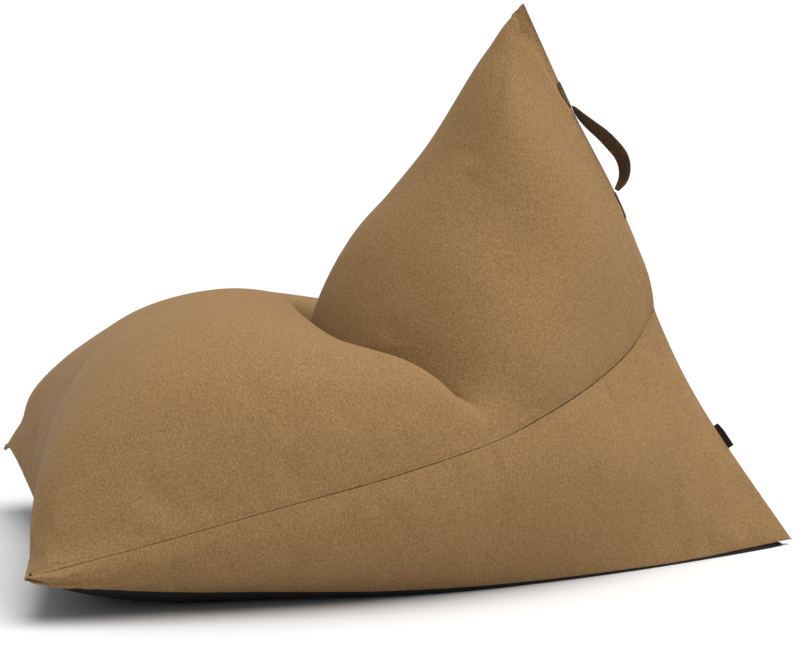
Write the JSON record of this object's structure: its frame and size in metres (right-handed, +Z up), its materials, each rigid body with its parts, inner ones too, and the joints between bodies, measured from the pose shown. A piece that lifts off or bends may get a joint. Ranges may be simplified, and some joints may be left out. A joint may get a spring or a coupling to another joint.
{
  "type": "bean bag chair",
  "caption": "Pyramid bean bag chair: woven tan cover with a dark bottom, pointed backrest, rear carry strap, zipped inner liner and bead filling.",
  "frame": {"origin": "middle of the footprint, on the floor", "axes": "+Z up; the sitter faces -Y; +X is the sitter's left"},
  "size_m": [0.9662, 1.3123, 0.9028],
  "materials": {
    "cover_fabric": "woven, matt, tan",
    "bottom_fabric": "dense woven, black",
    "strap_webbing": "dark brown flat webbing",
    "label_ribbon": "near-black ribbon, blank",
    "liner_fabric": "thin white non-woven",
    "filling_beads": "white expanded beads",
    "zip_tape_fabric": "black woven tape",
    "zip_plastic": "black coil",
    "zip_metal": "plain zinc",
    "sewing_thread": "tan polyester thread"
  },
  "bodies": {
    "bag": {"bead_filling": "filling_beads", "cover_bottom_panel_left": "bottom_fabric", "cover_bottom_panel_right": "bottom_fabric", "cover_side_panel_left": "cover_fabric", "cover_side_panel_right": "cover_fabric", "cover_upper_panel": "cover_fabric", "cover_zip_chain_left": "zip_plastic", "cover_zip_chain_right": "zip_plastic", "cover_zip_stop_front": "zip_metal", "cover_zip_stop_rear": "zip_metal", "cover_zip_tape_left": "zip_tape_fabric", "cover_zip_tape_right": "zip_tape_fabric", "handle_tail_lower": "strap_webbing", "handle_tail_upper": "strap_webbing", "inner_liner": "liner_fabric", "liner_zip_chain_left": "zip_plastic", "liner_zip_chain_right": "zip_plastic", "liner_zip_stop_front": "zip_metal", "liner_zip_stop_rear": "zip_metal", "liner_zip_tape_left": "zip_tape_fabric", "liner_zip_tape_right": "zip_tape_fabric", "seam_label": "label_ribbon", "topstitch_left": "sewing_thread", "topstitch_right": "sewing_thread"},
    "handle": {"handle_loop": "strap_webbing"},
    "cover_slider": {"cover_zip_slider": "zip_metal"},
    "liner_slider": {"liner_zip_slider": "zip_metal"}
  },
  "joints": [
    {"name": "handle_swing", "type": "hinge", "parent": "bag", "child": "handle", "pos_m": [0, 0.27994, 0.73424], "axis": [0, 0.4637, -0.886], "range_deg": [-25, 25]},
    {"name": "cover_zip_slide", "type": "slide", "parent": "bag", "child": "cover_slider", "axis": [0, 1, 0], "range_m": [0, 0.787]},
    {"name": "liner_zip_slide", "type": "slide", "parent": "bag", "child": "liner_slider", "axis": [0, 1, 0], "range_m": [0, 0.487]}
  ]
}
